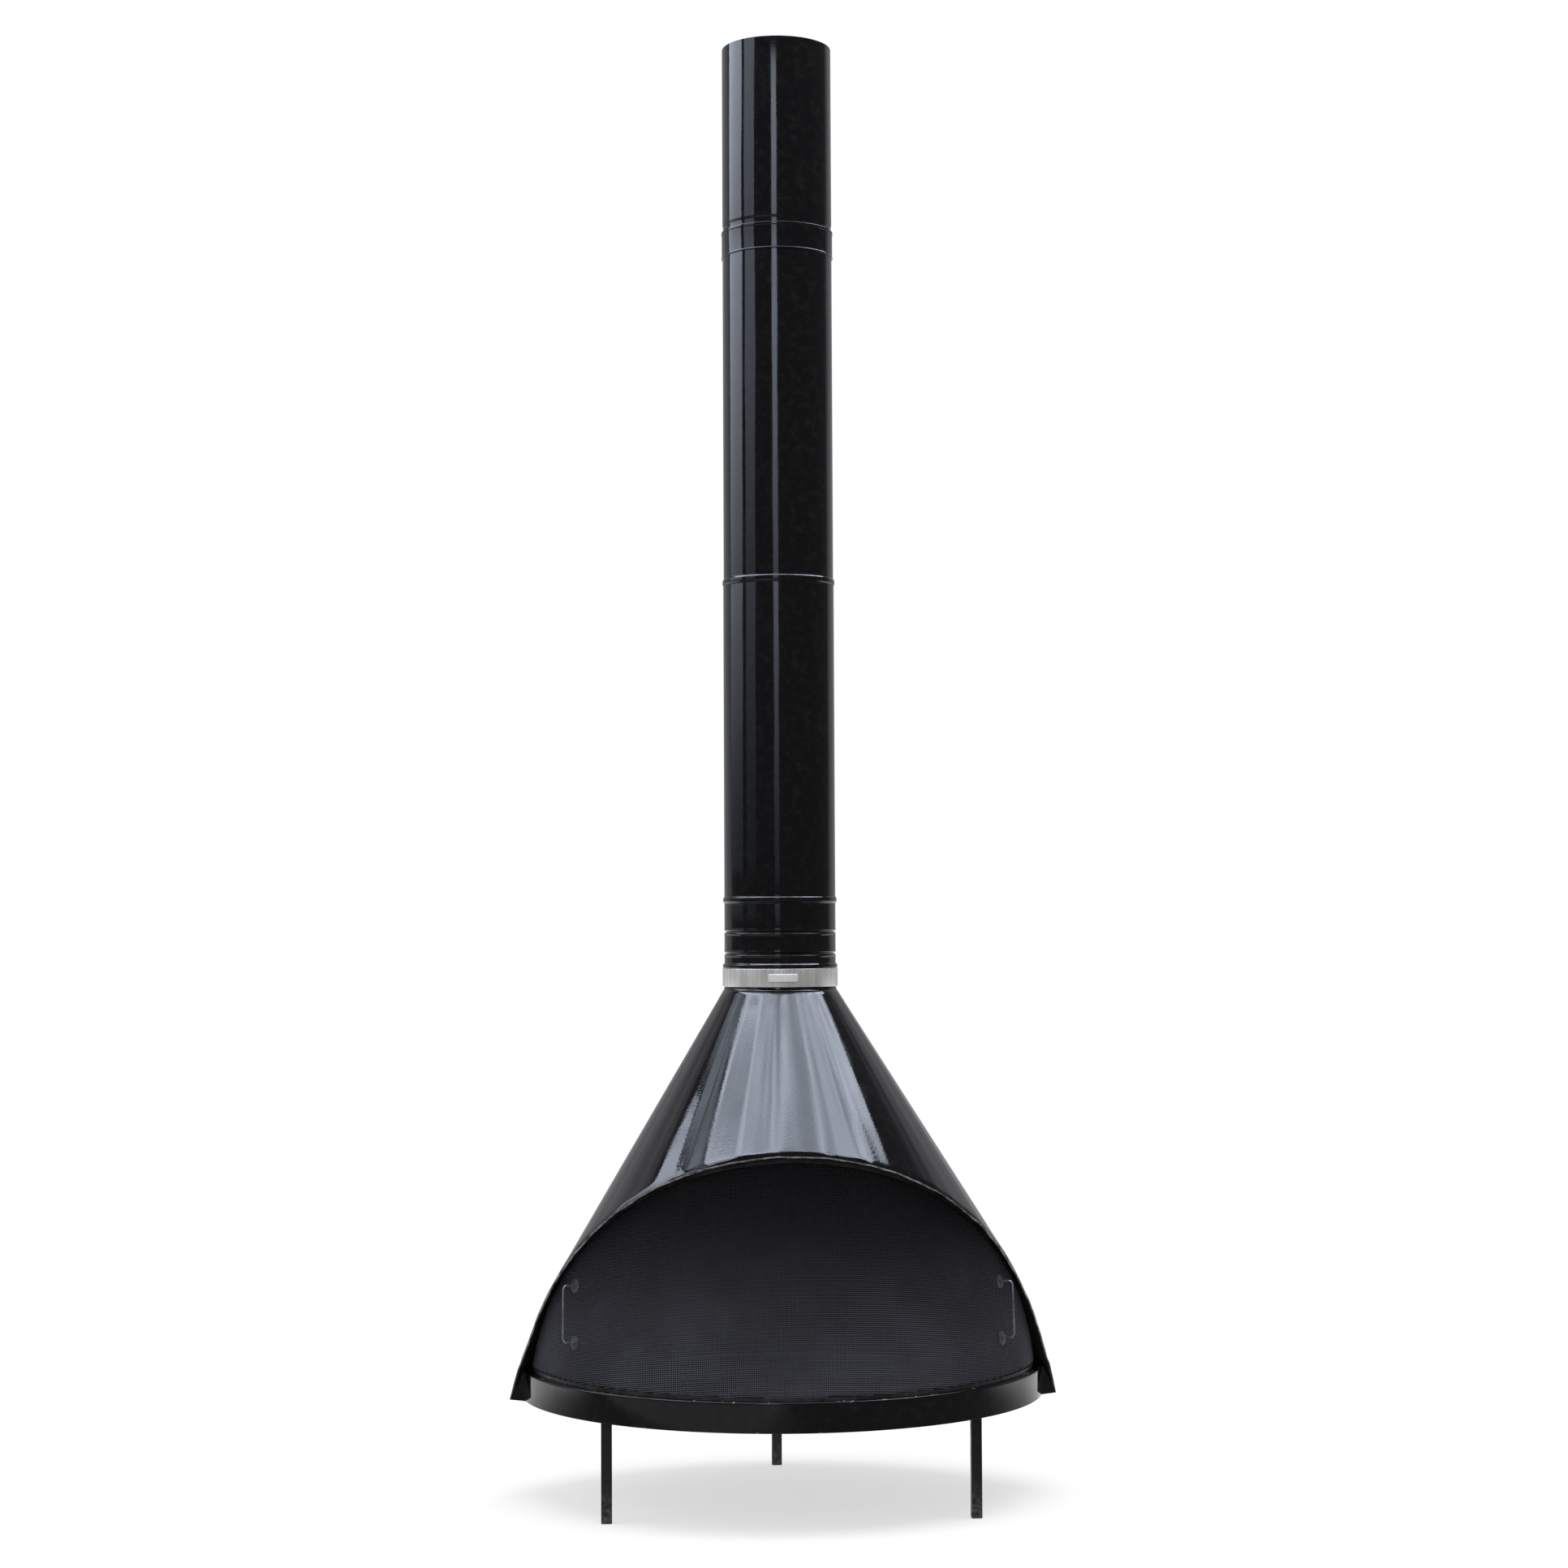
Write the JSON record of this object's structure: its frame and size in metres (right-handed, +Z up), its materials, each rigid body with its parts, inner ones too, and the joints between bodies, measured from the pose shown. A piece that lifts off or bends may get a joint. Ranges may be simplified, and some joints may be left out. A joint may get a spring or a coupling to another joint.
{
  "type": "cone fireplace",
  "caption": "Free-standing enamelled cone fireplace on low legs, with a stove-pipe flue, a curved lift-out mesh screen, a firebrick hearth and a flue damper.",
  "frame": {"origin": "floor level under the middle of the whole object's plan; the flue axis stands 118.5 mm behind it", "axes": "+Z up along the flue, -Y out of the opening, +X to the right as seen from the front"},
  "size_m": [0.9982, 0.709, 2.6775],
  "materials": {
    "enamel_pipe": "gloss black porcelain enamel",
    "enamel_hood": "gloss black porcelain enamel with a light orange-peel",
    "enamel_band": "gloss black porcelain enamel",
    "trim_steel": "brushed stainless steel",
    "badge_metal": "satin",
    "pan_steel": "matt high-temperature paint",
    "firebrick": "rough cast fireclay",
    "leg_paint": "satin black",
    "glide_plastic": "matt",
    "zinc": "zinc plated",
    "screen_wire": "black oxide woven wire",
    "handle_wire": "satin black",
    "damper_iron": "heat-dulled",
    "spindle_steel": "plain"
  },
  "bodies": {
    "stove": {"flue_pipe_top": "enamel_pipe", "flue_collar": "enamel_pipe", "flue_pipe_upper": "enamel_pipe", "flue_pipe_lower": "enamel_pipe", "flue_adapter": "enamel_pipe", "hood": "enamel_hood", "hearth_band": "enamel_band", "trim_band": "trim_steel", "trim_badge": "badge_metal", "hearth_pan": "pan_steel", "gusset_left": "pan_steel", "gusset_right": "pan_steel", "firebrick_hearth": "firebrick", "leg_front_left": "leg_paint", "leg_front_right": "leg_paint", "leg_rear": "leg_paint", "foot_glide_front_left": "glide_plastic", "foot_glide_front_right": "glide_plastic", "foot_glide_rear": "glide_plastic", "leg_bolts": "zinc", "leg_nuts": "zinc"},
    "screen": {"screen_mesh": "screen_wire", "screen_edge_binding": "screen_wire", "screen_bottom_rail": "screen_wire", "screen_handle_left": "handle_wire", "screen_handle_right": "handle_wire", "handle_washers": "handle_wire", "handle_nuts": "zinc"},
    "damper": {"damper_spindle": "spindle_steel", "damper_plate": "damper_iron", "damper_clips": "damper_iron", "damper_handle": "damper_iron"}
  },
  "joints": [
    {"name": "screen_pull", "type": "slide", "parent": "stove", "child": "screen", "axis": [0, -1, 0], "range_m": [0, 0.55]},
    {"name": "damper_turn", "type": "hinge", "parent": "stove", "child": "damper", "pos_m": [0, 0.1185, 0.933], "axis": [-1, 0, 0], "range_deg": [0, 80]}
  ]
}
